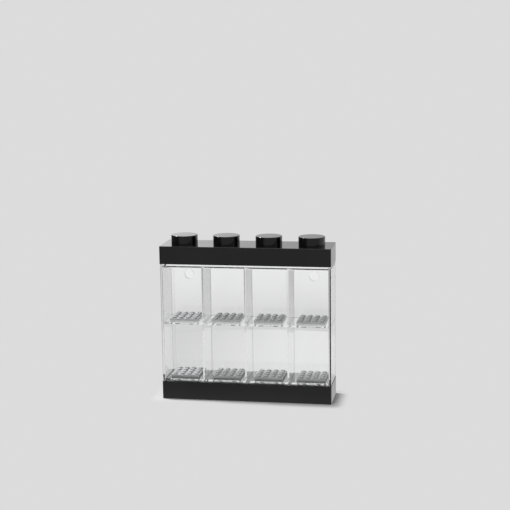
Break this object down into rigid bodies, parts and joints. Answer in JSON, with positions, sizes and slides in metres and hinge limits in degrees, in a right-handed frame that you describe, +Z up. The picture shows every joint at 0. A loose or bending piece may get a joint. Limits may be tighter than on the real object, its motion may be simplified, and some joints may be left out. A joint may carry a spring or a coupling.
{
  "type": "figure display case",
  "caption": "Clear display case for small toy figures: black base, studded black lid, lift-off clear cover, rack of compartments with studded plates and wall keyholes.",
  "frame": {"origin": "middle of the underside of the base, on the surface that the case stands on", "axes": "+X to the right along the case seen from its front, +Y from the front cover to the back panel, +Z up"},
  "size_m": [0.191, 0.047, 0.184],
  "materials": {
    "black_plastic": "gloss moulded black, light moulding texture",
    "clear_cover_plastic": "polished clear polystyrene",
    "clear_rack_plastic": "polished clear polystyrene",
    "grey_plate_plastic": "satin moulded mid grey"
  },
  "bodies": {
    "stand": {"base": "black_plastic", "rack": "clear_rack_plastic"},
    "cover": {"front_cover": "clear_cover_plastic"},
    "lid": {"lid": "black_plastic"},
    "plate_lower_1": {"figure_plate_lower_1": "grey_plate_plastic"},
    "plate_lower_2": {"figure_plate_lower_2": "grey_plate_plastic"},
    "plate_lower_3": {"figure_plate_lower_3": "grey_plate_plastic"},
    "plate_lower_4": {"figure_plate_lower_4": "grey_plate_plastic"},
    "plate_upper_1": {"figure_plate_upper_1": "grey_plate_plastic"},
    "plate_upper_2": {"figure_plate_upper_2": "grey_plate_plastic"},
    "plate_upper_3": {"figure_plate_upper_3": "grey_plate_plastic"},
    "plate_upper_4": {"figure_plate_upper_4": "grey_plate_plastic"}
  },
  "joints": [
    {"name": "cover_lift", "type": "slide", "parent": "stand", "child": "cover", "axis": [0, 0, 1], "range_m": [0, 0.15]},
    {"name": "lid_lift", "type": "slide", "parent": "cover", "child": "lid", "axis": [0, 0, 1], "range_m": [0, 0.03]},
    {"name": "plate_lower_1_lift", "type": "slide", "parent": "stand", "child": "plate_lower_1", "axis": [0, 0, 1], "range_m": [0, 0.012]},
    {"name": "plate_lower_2_lift", "type": "slide", "parent": "stand", "child": "plate_lower_2", "axis": [0, 0, 1], "range_m": [0, 0.012]},
    {"name": "plate_lower_3_lift", "type": "slide", "parent": "stand", "child": "plate_lower_3", "axis": [0, 0, 1], "range_m": [0, 0.012]},
    {"name": "plate_lower_4_lift", "type": "slide", "parent": "stand", "child": "plate_lower_4", "axis": [0, 0, 1], "range_m": [0, 0.012]},
    {"name": "plate_upper_1_lift", "type": "slide", "parent": "stand", "child": "plate_upper_1", "axis": [0, 0, 1], "range_m": [0, 0.012]},
    {"name": "plate_upper_2_lift", "type": "slide", "parent": "stand", "child": "plate_upper_2", "axis": [0, 0, 1], "range_m": [0, 0.012]},
    {"name": "plate_upper_3_lift", "type": "slide", "parent": "stand", "child": "plate_upper_3", "axis": [0, 0, 1], "range_m": [0, 0.012]},
    {"name": "plate_upper_4_lift", "type": "slide", "parent": "stand", "child": "plate_upper_4", "axis": [0, 0, 1], "range_m": [0, 0.012]}
  ]
}
